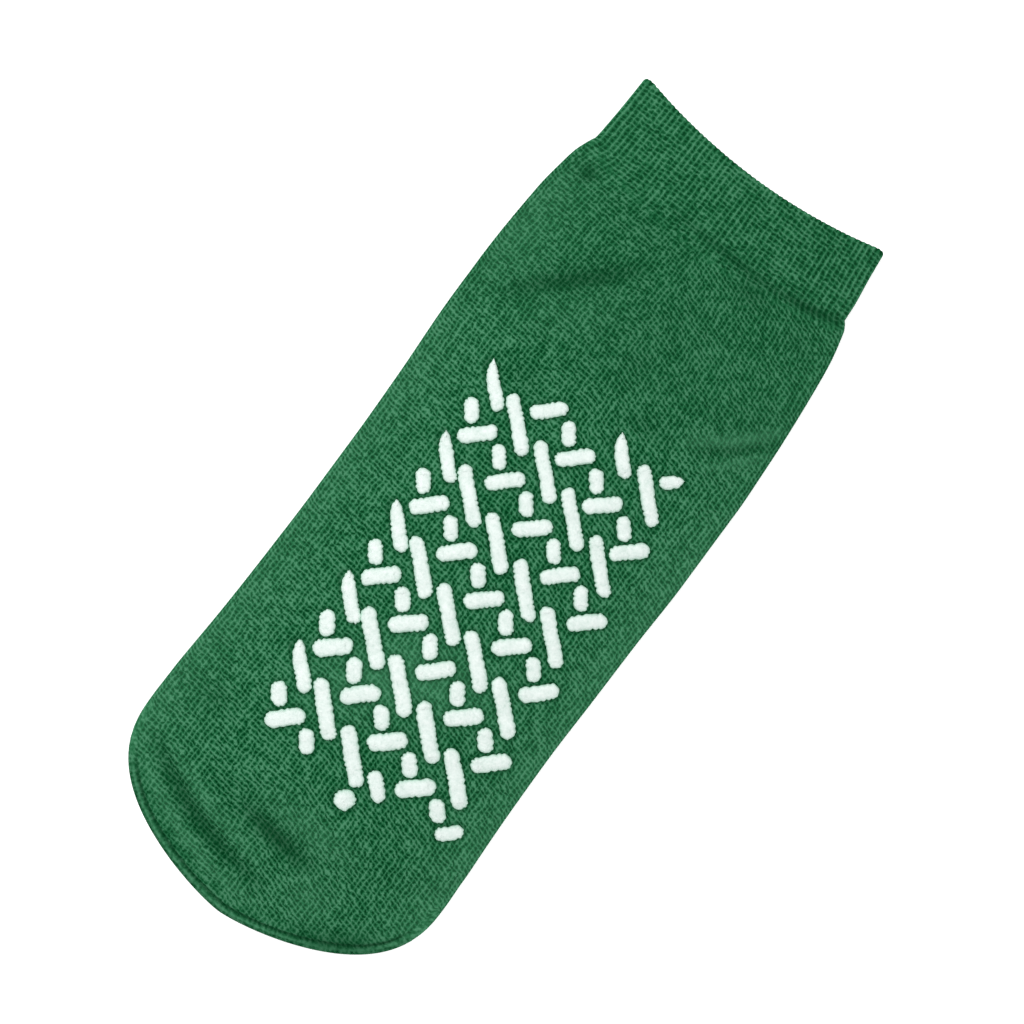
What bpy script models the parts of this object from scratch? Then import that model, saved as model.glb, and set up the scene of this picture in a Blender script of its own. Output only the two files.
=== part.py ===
"""Slipper sock: a knitted tube sock lying flat and slack, with a raised grip print on both faces.

Metres, +Z up. The toe points along -Y, the collar opens along +Y, and the floor is z = 0.
"""
import math
from collections import namedtuple

import bmesh
import bpy
from mathutils import Vector
from mathutils.bvhtree import BVHTree

OBJECT_NAME = "slipper_sock"

# Driving sizes of the knitted tube
LENGTH = 0.270            # collar corner to toe tip
FOOT_WIDTH = 0.106        # widest place of the flat tube
WALL = 0.0018             # thickness of the knit
INNER_FOLD_RADIUS = 0.0008  # room left inside the fold at each side
DOME_RISE = 0.0080        # how far the slack top bellies up over the folds
COLLAR_ROUNDING = 0.0005  # softening of the collar's cut edge
SEAM_DEPTH = 0.0005       # groove of the toe seam
OUTER_FOLD_RADIUS = WALL + INNER_FOLD_RADIUS
HALF_WIDTH = FOOT_WIDTH / 2

# Driving sizes of the grip print
PRINT_HEIGHT = 0.0012     # how far a stroke stands off the knit
PRINT_BEVEL = 0.0009      # how far a stroke's sides slope in
SEAT_GAP = 0.0003         # clearance between touching solids
PRINT_PER_WIDTH = 7.2     # print repeats across the foot's width
PRINT_START = 0.3835      # first full stroke, as a share of the length
PRINT_MIDDLE = -0.257     # first full stroke, as a share of the half width
PRINT_SPAN = (0.30, 0.86)  # the print stays between these shares of the length
LINK_WIDTH = 0.0010       # thin link that makes one solid of a row of strokes
LINK_THICKNESS = 0.0004
LINK_CLEARANCE = 0.0002   # link's underside above the strokes' underside
PRINT_UNIT = FOOT_WIDTH / PRINT_PER_WIDTH
TREAD_LIFT = PRINT_HEIGHT + SEAT_GAP

# Resolution of the faceted solids
RING_SPACING = 0.020
COLUMNS = 14
FOLD_SEGMENTS = 6
COLLAR_SEGMENTS = 2       # steps of the collar's rounding
COLLAR_EDGE_ANGLE = 60    # degrees; sharper edges than this are the collar's
LINK_SAMPLES = 7          # places tried along each stroke for the shortest link
STROKE_END_ANGLE = 35     # degrees from the stroke's axis to the corners of its round end

# One row for each section of the tube, from the collar to the toe. along and bow are shares of the length:
# a section meets the folds at along, and its middle lies bow further on. left and right are the folds'
# places as shares of the half width. rise is the share of the dome, lift the share of the tread's height
# that the underside stands off the floor, toe how far the section takes the toe's rounding, and seam the
# share of the seam's groove.
Section = namedtuple("Section", "name along left right rise lift bow toe seam")
SECTIONS = (
    Section("collar", 0.0000, 0.830, 0.808, 0.62, 0, 0.0216, 0.0, 0),
    Section("cuff upper", 0.0300, 0.836, 0.824, 0.60, 0, 0.0225, 0.0, 0),
    Section("cuff middle", 0.0615, 0.846, 0.845, 0.59, 0, 0.0245, 0.0, 0),
    Section("cuff end", 0.0838, 0.857, 0.854, 0.59, 0, 0.0270, 0.0, 0),
    Section("cuff step", 0.0930, 0.880, 0.885, 0.70, 0, 0.0275, 0.0, 0),
    Section("leg top", 0.1085, 0.911, 0.908, 0.78, 0, 0.0270, 0.0, 0),
    Section("leg shoulder", 0.1285, 0.930, 0.929, 0.84, 0, 0.0260, 0.0, 0),
    Section("leg upper", 0.1630, 0.954, 0.951, 0.90, 0, 0.0235, 0.0, 0),
    Section("leg lower", 0.2657, 0.978, 0.991, 0.96, 0, 0.0165, 0.0, 0),
    Section("heel", 0.3200, 0.976, 1.000, 0.97, 1, 0.0130, 0.0, 0),
    Section("instep", 0.4227, 0.957, 1.000, 1.00, 1, 0.0060, 0.0, 0),
    Section("waist", 0.5012, 0.950, 0.987, 1.00, 1, 0.0020, 0.0, 0),
    Section("mid foot", 0.5800, 0.950, 0.980, 1.00, 1, 0.0000, 0.0, 0),
    Section("rear ball", 0.6583, 0.957, 0.972, 1.00, 1, 0.0000, 0.0, 0),
    Section("ball", 0.7368, 0.970, 0.977, 0.96, 1, 0.0030, 0.3, 0),
    Section("front ball", 0.7826, 0.983, 0.985, 0.90, 1, 0.0140, 0.7, 0),
    Section("toe root", 0.8127, 0.992, 0.992, 0.80, 1, 0.0440, 1.0, 0),
    Section("toe middle", 0.8336, 0.997, 0.996, 0.60, 0, 0.0790, 1.0, 0),
    Section("toe front", 0.8480, 0.999, 0.999, 0.30, 0, 0.1200, 1.0, 0),
    Section("inside the seam", 0.8552, 1.000, 1.000, 0.10, 0, 0.1354, 1.0, 0),
    Section("seam groove", 0.8585, 1.000, 1.000, 0.03, 0, 0.1370, 1.0, 1),
    Section("toe", 0.8611, 1.000, 1.000, 0.00, 0, 0.1389, 1.0, 0),
)

# Exponents of the sections' plan curve (1 - x^power)^(1/root) and of the dome (1 - x^breadth)^power
CUFF_POWER = 2.0
CUFF_ROOT = 1.0
TOE_POWER = 1.45
TOE_ROOT_LEFT = 2.74
TOE_ROOT_RIGHT = 2.62
DOME_BREADTH = 2.4
DOME_POWER = 1.3
SEAM_FADE_POWER = 6

# The print's three strokes, in print units: place from the repeat's corner (across, towards the toe),
# length, width and direction in degrees.
Stroke = namedtuple("Stroke", "across along length width angle")
STROKES = {
    "long": Stroke(0.0, 0.0, 1.236, 0.272, -43.9),
    "cross": Stroke(-0.530, 0.607, 0.802, 0.292, 42.7),
    "short": Stroke(-0.901, 0.298, 0.503, 0.270, -51.6),
}
STEP_ACROSS = (0.984, 0.427)   # from a stroke to the next in its row: across, towards the toe
STEP_ALONG = (0.066, 1.682)    # from a row to the next

# First and last place of each full stroke in each row of the print. girth is the share of the strokes'
# width. drift is how far the row's cross and short strokes lie off their places, in print units along the
# cross stroke.
PrintRow = namedtuple("PrintRow", "row long_first long_last cross_first cross_last short_first"
                                  " short_last girth drift")
PRINT_ROWS = (
    PrintRow(-1, 3, 3, 2, 4, 2, 4, 0.95, -0.11),
    PrintRow(0, 0, 3, 0, 4, 0, 4, 0.96, 0.0),
    PrintRow(1, 0, 3, 0, 4, 0, 4, 1.00, 0.0),
    PrintRow(2, 0, 3, 0, 4, 0, 4, 1.03, 0.0),
    PrintRow(3, 0, 3, 0, 3, 0, 4, 1.08, 0.0),
    PrintRow(4, 0, 1, 0, 0, 0, 1, 1.07, 0.0),
)

# Strokes that the print's edge cuts short: kept is the share of the length, slide the move along the
# stroke in lengths, girth the share of the width, drift as above, joins the row that the stroke belongs to.
CutStroke = namedtuple("CutStroke", "kind place row kept slide girth drift joins")
CUT_STROKES = (
    CutStroke("cross", 4, -2, 0.61, -0.28, 0.80, 0.00, -1),
    CutStroke("cross", 1, -1, 0.94, -0.10, 0.91, 0.00, -1),
    CutStroke("long", 2, -1, 0.73, 0.12, 0.92, 0.00, -1),
    CutStroke("long", -1, 0, 0.83, 0.12, 0.90, 0.05, 0),
    CutStroke("long", -1, 1, 0.83, 0.14, 0.92, 0.07, 1),
    CutStroke("long", -1, 2, 0.84, 0.11, 0.97, 0.06, 2),
    CutStroke("long", -1, 3, 0.84, 0.11, 1.00, 0.07, 3),
    CutStroke("cross", 4, 3, 0.71, 0.00, 0.90, 0.12, 3),
    CutStroke("long", -1, 4, 0.84, 0.08, 1.02, 0.05, 4),
    CutStroke("long", 2, 4, 0.51, -0.27, 1.00, 0.00, 4),
    CutStroke("short", 2, 4, 0.86, 0.50, 1.56, 0.20, 4),
)

# Colour (linear), roughness and metallic value of the two materials
MATERIALS = {
    "green_knit": ((0.023, 0.138, 0.058), 0.95, 0.0),
    "white_print": ((0.80, 0.88, 0.84), 0.75, 0.0),
}


def clear_scene():
    for item in list(bpy.data.objects):
        bpy.data.objects.remove(item)


def make_material(name):
    colour, roughness, metallic = MATERIALS[name]
    material = bpy.data.materials.new(name)
    material.use_nodes = True
    shader = material.node_tree.nodes["Principled BSDF"]
    shader.inputs["Base Color"].default_value = (*colour, 1.0)
    shader.inputs["Roughness"].default_value = roughness
    shader.inputs["Metallic"].default_value = metallic
    return material


def add_object(name, mesh, material, collection):
    item = bpy.data.objects.new(name, mesh)
    mesh.materials.append(material)
    collection.objects.link(item)
    return item


def mesh_from(shape, name):
    bmesh.ops.recalc_face_normals(shape, faces=shape.faces)
    mesh = bpy.data.meshes.new(name)
    shape.to_mesh(mesh)
    shape.free()
    return mesh


def blend(start, end, share):
    return start + (end - start) * share


def section_between(first, second, share):
    """A section part of the way from one row of the table to the next, eased for the soft columns."""
    eased = share * share * (3 - 2 * share)
    values = {"name": first.name}
    for column in ("along", "left", "right", "bow", "toe"):
        values[column] = blend(getattr(first, column), getattr(second, column), share)
    for column in ("rise", "lift", "seam"):
        values[column] = blend(getattr(first, column), getattr(second, column), eased)
    return Section(**values)


def all_sections():
    """The table's sections with others between them, none further apart than RING_SPACING."""
    sections = []
    for first, second in zip(SECTIONS, SECTIONS[1:]):
        apart = (second.along + second.bow - first.along - first.bow) * LENGTH
        steps = max(1, math.ceil(apart / RING_SPACING))
        for step in range(steps):
            sections.append(section_between(first, second, step / steps))
    sections.append(SECTIONS[-1])
    return sections


def plan_curve(section, across):
    """How far the section has gone from its ends (0) to its middle (1), across the tube from -1 to 1."""
    reach = min(1.0, abs(across))
    cuff = (1 - reach ** CUFF_POWER) ** (1 / CUFF_ROOT)
    toe_root = TOE_ROOT_LEFT if across < 0 else TOE_ROOT_RIGHT
    toe = (1 - reach ** TOE_POWER) ** (1 / toe_root)
    return blend(cuff, toe, section.toe)


def sheet_point(section, across, top):
    """A point of the tube's top or bottom sheet, which ends where the folds' rounding begins."""
    side = section.left if across < 0 else section.right
    x = across * (side * HALF_WIDTH - OUTER_FOLD_RADIUS)
    run = LENGTH - OUTER_FOLD_RADIUS
    y = LENGTH / 2 - run * (section.along + section.bow * plan_curve(section, across))
    z = section.lift * TREAD_LIFT
    if top:
        dome = (1 - abs(across) ** DOME_BREADTH) ** DOME_POWER
        fade = 1 - across ** SEAM_FADE_POWER
        z += 2 * OUTER_FOLD_RADIUS + section.rise * DOME_RISE * dome - section.seam * SEAM_DEPTH * fade
    return Vector((x, y, z))


def fold_normals(rail):
    """Level outward normals along the line where the folds' rounding begins, left side first."""
    normals = [Vector((-1, 0, 0))]
    for before, after in zip(rail, rail[2:]):
        run = after - before
        normals.append(Vector((run.y, -run.x, 0)).normalized())
    normals.append(Vector((1, 0, 0)))
    return normals


def knit_surface():
    """Outer surface of the tube: a top and a bottom sheet, and the rounded fold round their edge."""
    sections = all_sections()
    shares = [math.sin(math.pi / 2 * (2 * column / COLUMNS - 1)) for column in range(COLUMNS + 1)]
    shape = bmesh.new()
    sheets = {}
    for top in (True, False):
        sheets[top] = [[shape.verts.new(sheet_point(section, share, top)) for share in shares]
                       for section in sections]
        for upper, lower in zip(sheets[top], sheets[top][1:]):
            for column in range(COLUMNS):
                corners = (upper[column], lower[column], lower[column + 1], upper[column + 1])
                shape.faces.new(corners if top else corners[::-1])

    def edge_line(sheet):
        left = [row[0] for row in sheet]
        right = [row[-1] for row in reversed(sheet)]
        return left + sheet[-1][1:-1] + right

    top_edge = edge_line(sheets[True])
    bottom_edge = edge_line(sheets[False])
    normals = fold_normals([vertex.co for vertex in bottom_edge])
    arcs = []
    for upper, lower, normal in zip(top_edge, bottom_edge, normals):
        centre = (upper.co + lower.co) / 2
        arc = [upper]
        for segment in range(1, FOLD_SEGMENTS):
            angle = math.pi / 2 - math.pi * segment / FOLD_SEGMENTS
            outward = normal * math.cos(angle) * OUTER_FOLD_RADIUS
            upward = Vector((0, 0, math.sin(angle) * OUTER_FOLD_RADIUS))
            arc.append(shape.verts.new(centre + outward + upward))
        arc.append(lower)
        arcs.append(arc)
    for here, there in zip(arcs, arcs[1:]):
        for segment in range(FOLD_SEGMENTS):
            shape.faces.new((here[segment], here[segment + 1], there[segment + 1], there[segment]))
    return shape


def make_knit(collection, material):
    """The knitted tube: leg, foot, toe and cuff in one wall, open at the collar. Returns its surface."""
    shape = knit_surface()
    bmesh.ops.triangulate(shape, faces=shape.faces)
    surface = BVHTree.FromBMesh(shape)
    shape.free()
    item = add_object("knit_sock", mesh_from(knit_surface(), "knit_sock"), material, collection)
    item.data.shade_smooth()
    wall = item.modifiers.new("wall", "SOLIDIFY")
    wall.thickness = WALL
    wall.offset = -1
    wall.use_even_offset = True
    rounding = item.modifiers.new("collar rounding", "BEVEL")
    rounding.width = COLLAR_ROUNDING
    rounding.segments = COLLAR_SEGMENTS
    rounding.limit_method = "ANGLE"
    rounding.angle_limit = math.radians(COLLAR_EDGE_ANGLE)
    return surface


PrintMark = namedtuple("PrintMark", "centre length width angle")


def print_marks():
    """Every stroke of the print as seen on the top face, in a list for each row."""
    rows = {row.row: [] for row in PRINT_ROWS}

    def direction(kind):
        angle = math.radians(STROKES[kind].angle)
        return Vector((math.cos(angle), math.sin(angle)))

    def mark(kind, place, row, kept=1.0, slide=0.0, girth=1.0, drift=0.0):
        stroke = STROKES[kind]
        across = stroke.across + place * STEP_ACROSS[0] + row * STEP_ALONG[0]
        along = stroke.along + place * STEP_ACROSS[1] + row * STEP_ALONG[1]
        start = Vector((PRINT_MIDDLE * HALF_WIDTH, LENGTH / 2 - PRINT_START * LENGTH))
        moved = direction(kind) * slide * stroke.length + direction("cross") * drift
        centre = start + (Vector((across, -along)) + moved) * PRINT_UNIT
        length = stroke.length * kept * PRINT_UNIT
        width = stroke.width * girth * PRINT_UNIT
        return PrintMark(centre, length, width, math.radians(stroke.angle))

    for row in PRINT_ROWS:
        spans = {
            "long": (row.long_first, row.long_last),
            "cross": (row.cross_first, row.cross_last),
            "short": (row.short_first, row.short_last),
        }
        for kind, (first, last) in spans.items():
            drift = 0.0 if kind == "long" else row.drift
            for place in range(first, last + 1):
                rows[row.row].append(mark(kind, place, row.row, girth=row.girth, drift=drift))
    for cut in CUT_STROKES:
        short = mark(cut.kind, cut.place, cut.row, cut.kept, cut.slide, cut.girth, cut.drift)
        rows[cut.joins].append(short)
    front, back = (LENGTH / 2 - share * LENGTH for share in PRINT_SPAN)
    return {row: [m for m in marks if back < m.centre.y < front] for row, marks in rows.items()}


def mark_axis(mark):
    """The two ends of the straight line inside a round-ended stroke."""
    half = Vector((math.cos(mark.angle), math.sin(mark.angle))) * max(0.0, mark.length - mark.width) / 2
    return mark.centre - half, mark.centre + half


def mark_ribs(mark, inset):
    """Plan of a round-ended stroke, drawn in by inset, as pairs of points across it from end to end."""
    start, end = mark_axis(mark)
    along = Vector((math.cos(mark.angle), math.sin(mark.angle)))
    across = Vector((-along.y, along.x))
    radius = mark.width / 2 - inset
    tip = along * radius * math.cos(math.radians(STROKE_END_ANGLE))
    narrow = across * radius * math.sin(math.radians(STROKE_END_ANGLE))
    broad = across * radius
    ribs = [(start - tip, narrow), (start, broad), (end, broad), (end + tip, narrow)]
    if mark.length > 2 * mark.width:
        ribs.insert(2, (mark.centre, broad))
    return [(place + half, place - half) for place, half in ribs]


def seat_height(surface, place, top):
    """Height of the knit's outer surface above or below a place in plan."""
    clear_of_knit = TREAD_LIFT + 2 * OUTER_FOLD_RADIUS + DOME_RISE + WALL
    start = Vector((place.x, place.y, clear_of_knit if top else -clear_of_knit))
    hit = surface.ray_cast(start, Vector((0, 0, -1 if top else 1)))
    return hit[0].z


def add_stroke(shape, mark, surface, top):
    """A round-ended stroke with sloping sides, on the knit or between the knit and the floor."""
    layers = []
    for inset, outer in ((0.0, False), (PRINT_BEVEL, True)):
        ribs = []
        for pair in mark_ribs(mark, inset):
            rib = []
            for place in pair:
                if top:
                    z = seat_height(surface, place, top) + SEAT_GAP + (PRINT_HEIGHT if outer else 0)
                else:
                    z = 0.0 if outer else PRINT_HEIGHT
                rib.append(shape.verts.new((place.x, place.y, z)))
            ribs.append(rib)
        for here, there in zip(ribs, ribs[1:]):
            shape.faces.new((here[0], here[1], there[1], there[0]))
        layers.append([rib[0] for rib in ribs] + [rib[1] for rib in reversed(ribs)])
    base, face = layers
    for index in range(len(base)):
        after = (index + 1) % len(base)
        shape.faces.new((base[index], base[after], face[after], face[index]))


def span(link):
    """Length of a link in print units, rounded so that equal links tie in the same order at every size."""
    return round((link[0] - link[1]).length / PRINT_UNIT, 3)


def nearest_places(first, second):
    """The places on two strokes' axes that lie nearest to each other."""
    samples = [step / (LINK_SAMPLES - 1) for step in range(LINK_SAMPLES)]
    a, b = mark_axis(first)
    c, d = mark_axis(second)
    pairs = [(a.lerp(b, s), c.lerp(d, t)) for s in samples for t in samples]
    return min(pairs, key=span)


def row_links(marks):
    """The shortest set of links that joins the strokes of a row."""
    joined = [marks[0]]
    waiting = list(marks[1:])
    links = []
    while waiting:
        options = [(nearest_places(old, new), new) for old in joined for new in waiting]
        link, new = min(options, key=lambda option: span(option[0]))
        links.append(link)
        joined.append(new)
        waiting.remove(new)
    return links


def add_link(shape, link, surface, top):
    """A thin three-sided bar between two strokes, clear of the knit and of the floor."""
    start, end = link
    side = (end - start).normalized().orthogonal() * LINK_WIDTH / 2
    rings = []
    for place in (start, end):
        low = seat_height(surface, place, top) + SEAT_GAP + LINK_CLEARANCE
        if not top:
            low = PRINT_HEIGHT - LINK_CLEARANCE - LINK_THICKNESS
        high = low + LINK_THICKNESS
        corners = ((-1, low), (1, low), (0, high))
        rings.append([shape.verts.new((*(place + side * sign), z)) for sign, z in corners])
    first, last = rings
    shape.faces.new(first)
    shape.faces.new(last)
    for index in range(len(first)):
        after = (index + 1) % len(first)
        shape.faces.new((first[index], first[after], last[after], last[index]))


def make_print_row(name, marks, surface, top, collection, guides, material):
    """One crosswise row of the print, its strokes made one solid by thin links."""
    strokes = bmesh.new()
    for mark in marks:
        add_stroke(strokes, mark, surface, top)
    item = add_object(name, mesh_from(strokes, name), material, collection)
    links = row_links(marks)
    if not links:
        return
    bars = bmesh.new()
    for link in links:
        add_link(bars, link, surface, top)
    bar_object = add_object(name + "_links", mesh_from(bars, name + "_links"), material, guides)
    bar_object.hide_render = True
    bar_object.display_type = "WIRE"
    union = item.modifiers.new("links", "BOOLEAN")
    union.operation = "UNION"
    union.object = bar_object
    union.use_self = True


def mirrored(mark):
    """The same stroke on the underside, where the print is seen from the other side."""
    centre = Vector((-mark.centre.x, mark.centre.y))
    return PrintMark(centre, mark.length, mark.width, math.pi - mark.angle)


def main():
    clear_scene()
    parts = bpy.data.collections.new(OBJECT_NAME)
    guides = bpy.data.collections.new("cutters")
    for collection in (parts, guides):
        bpy.context.scene.collection.children.link(collection)
    knit = make_material("green_knit")
    print_material = make_material("white_print")
    surface = make_knit(parts, knit)
    for number, marks in enumerate(print_marks().values(), start=1):
        if not marks:
            continue
        make_print_row(f"upper_tread_row_{number}", marks, surface, True, parts, guides, print_material)
        below = [mirrored(mark) for mark in marks]
        make_print_row(f"lower_tread_row_{number}", below, surface, False, parts, guides, print_material)


main()
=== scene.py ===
"""Looks of the slipper sock: a green knitted tube with a ribbed cuff and a puffy white grip print.

Metres, +Z up. The toe points along -Y, the collar opens along +Y, and the floor is z = 0.
"""
import math
from collections import namedtuple

import bmesh
import bpy
import numpy as np
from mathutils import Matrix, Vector
from mathutils.bvhtree import BVHTree

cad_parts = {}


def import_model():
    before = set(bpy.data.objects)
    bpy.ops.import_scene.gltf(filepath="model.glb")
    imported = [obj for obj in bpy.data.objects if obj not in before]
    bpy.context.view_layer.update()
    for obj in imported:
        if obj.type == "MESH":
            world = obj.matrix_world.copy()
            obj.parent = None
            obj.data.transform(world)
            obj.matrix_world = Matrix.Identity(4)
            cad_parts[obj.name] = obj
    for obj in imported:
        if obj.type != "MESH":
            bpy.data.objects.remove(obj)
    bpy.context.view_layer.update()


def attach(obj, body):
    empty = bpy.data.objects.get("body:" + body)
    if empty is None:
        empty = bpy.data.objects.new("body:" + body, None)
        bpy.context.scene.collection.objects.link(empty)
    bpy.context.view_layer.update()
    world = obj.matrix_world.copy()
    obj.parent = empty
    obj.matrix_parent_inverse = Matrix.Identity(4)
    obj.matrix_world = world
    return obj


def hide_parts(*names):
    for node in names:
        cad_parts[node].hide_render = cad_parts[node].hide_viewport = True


MM = 0.001

# Sizes of the knitted tube, as in the part
LENGTH = 0.270
FOOT_WIDTH = 0.106
HALF_WIDTH = FOOT_WIDTH / 2
WALL = 0.0018
FOLD_RADIUS = 0.0026
DOME_RISE = 0.0080
RUN = LENGTH - FOLD_RADIUS

# Sizes of the grip print, as in the part
PRINT_HEIGHT = 0.0012
SEAT_GAP = 0.0003
TREAD_LIFT = PRINT_HEIGHT + SEAT_GAP
PRINT_PER_WIDTH = 7.2
PRINT_START = 0.3835
PRINT_MIDDLE = -0.257
PRINT_UNIT = FOOT_WIDTH / PRINT_PER_WIDTH

# Sections of the tube from the collar to the toe, as in the part but for the seam's groove
Section = namedtuple("Section", "name along left right rise lift bow toe")
SECTIONS = [Section(*row) for row in (
    ("collar", 0.0000, 0.830, 0.808, 0.62, 0, 0.0216, 0.0),
    ("cuff upper", 0.0300, 0.836, 0.824, 0.60, 0, 0.0225, 0.0),
    ("cuff middle", 0.0615, 0.846, 0.845, 0.59, 0, 0.0245, 0.0),
    ("cuff end", 0.0838, 0.857, 0.854, 0.59, 0, 0.0270, 0.0),
    ("cuff step", 0.0930, 0.880, 0.885, 0.70, 0, 0.0275, 0.0),
    ("leg top", 0.1085, 0.911, 0.908, 0.78, 0, 0.0270, 0.0),
    ("leg shoulder", 0.1285, 0.930, 0.929, 0.84, 0, 0.0260, 0.0),
    ("leg upper", 0.1630, 0.954, 0.951, 0.90, 0, 0.0235, 0.0),
    ("leg lower", 0.2657, 0.978, 0.991, 0.96, 0, 0.0165, 0.0),
    ("heel", 0.3200, 0.976, 1.000, 0.97, 1, 0.0130, 0.0),
    ("instep", 0.4227, 0.957, 1.000, 1.00, 1, 0.0060, 0.0),
    ("waist", 0.5012, 0.950, 0.987, 1.00, 1, 0.0020, 0.0),
    ("mid foot", 0.5800, 0.950, 0.980, 1.00, 1, 0.0000, 0.0),
    ("rear ball", 0.6583, 0.957, 0.972, 1.00, 1, 0.0000, 0.0),
    ("ball", 0.7368, 0.970, 0.977, 0.96, 1, 0.0030, 0.3),
    ("front ball", 0.7826, 0.983, 0.985, 0.90, 1, 0.0140, 0.7),
    ("toe root", 0.8127, 0.992, 0.992, 0.80, 1, 0.0440, 1.0),
    ("toe middle", 0.8336, 0.997, 0.996, 0.60, 0, 0.0790, 1.0),
    ("toe front", 0.8480, 0.999, 0.999, 0.30, 0, 0.1200, 1.0),
    ("inside the seam", 0.8552, 1.000, 1.000, 0.10, 0, 0.1354, 1.0),
    ("toe", 0.8611, 1.000, 1.000, 0.00, 0, 0.1389, 1.0),
)]
CUFF_POWER = 2.0
TOE_POWER = 1.45
TOE_ROOT_LEFT = 2.74
TOE_ROOT_RIGHT = 2.62
DOME_BREADTH = 2.4
DOME_POWER = 1.3

# Rows of the mesh: each zone's end as a share of the length, their spacing, and if they are fine
Zone = namedtuple("Zone", "name end spacing fine")
OUTER_ZONES = (
    Zone("cuff", 0.1170, 1.05 * MM, True),
    Zone("leg", 0.28, 1.2 * MM, False),
    Zone("print", 0.86, 1.0 * MM, False),
    Zone("toe", 0.975, 1.2 * MM, False),
    Zone("seam", 1.00, 0.4 * MM, False),
)
INNER_ZONES = (Zone("inside", 1.00, 7 * MM, False),)
SHEET_COLUMNS = 104
EDGE_SPLITS = (0.5, 0.25, 0.1, 0.03, 0.006)   # extra columns inside the last one at each fold
FOLD_ANGLES = (90, 81, 70, 54, 29, 0, -29, -54, -70, -81, -90)   # degrees, down each rounded fold
RIM_STEPS = 4             # of the collar's rounded edge
FOLD_NUDGE = 1e-4         # steps over which the direction of a fold and of the rim is measured
RIM_NUDGE = 1e-5

# The knit's counts: stitches across a flat face and round a fold, and the pitch of the courses
FLAT_WALES = 66
FOLD_WALES = 6
ROUND_WALES = 2 * (FLAT_WALES + FOLD_WALES)
COURSE = 1.34 * MM
CUFF_RIBS = 50
RIB_HEIGHT = 0.22 * MM
RIB_SCALLOP = 0.22 * MM
RIB_POWER = 2.2
RIB_TILTS = (0.2, -0.6)   # tilts of the normal between which ribs pass from raised to cut in
CUFF_FADE = 3.0 * MM
CUFF_STEP = 4             # the section where the cuff steps out to the leg, and its half width
CUFF_STEP_WIDTH = 0.86 * HALF_WIDTH
COLLAR_BULGE = 0.42 * WALL

# The toe's seam: how far inside the rounded rim it runs, its groove, and where along the rim it shows
SEAM_INSET = 0.15 * MM
SEAM_GROOVE = 0.80 * MM
SEAM_HALF = 0.50 * MM
SEAM_STARTS = (12 * MM, 26 * MM)
SEAM_ENDS = (8 * MM, 18 * MM)
SEAM_POINTS = 1201
GATHER_REACH = 5.5 * MM
GATHER_CORE = 1.65 * MM
RIM_FADE = (0.3 * MM, -0.9 * MM)
RIM_ENDS = 3 * MM
GATHER_SHARE = 0.28       # how strongly the gathers show inside the seam and on the rim outside it, and how deep the painted shade is there
RIM_SHARE = 0.90
GATHER_SHADE = 0.16
RIM_SHADE = 0.60

# The chain of linking stitches just outside the groove, raised and painted light as a highlight
CHAIN_OUT = 0.89 * MM
CHAIN_HALF = 0.36 * MM
CHAIN_HEIGHT = 0.16 * MM
CHAIN_PITCH = 2.6 * MM
CHAIN_LINK = 0.3
CHAIN_HIGHLIGHT = 1.75
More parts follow.
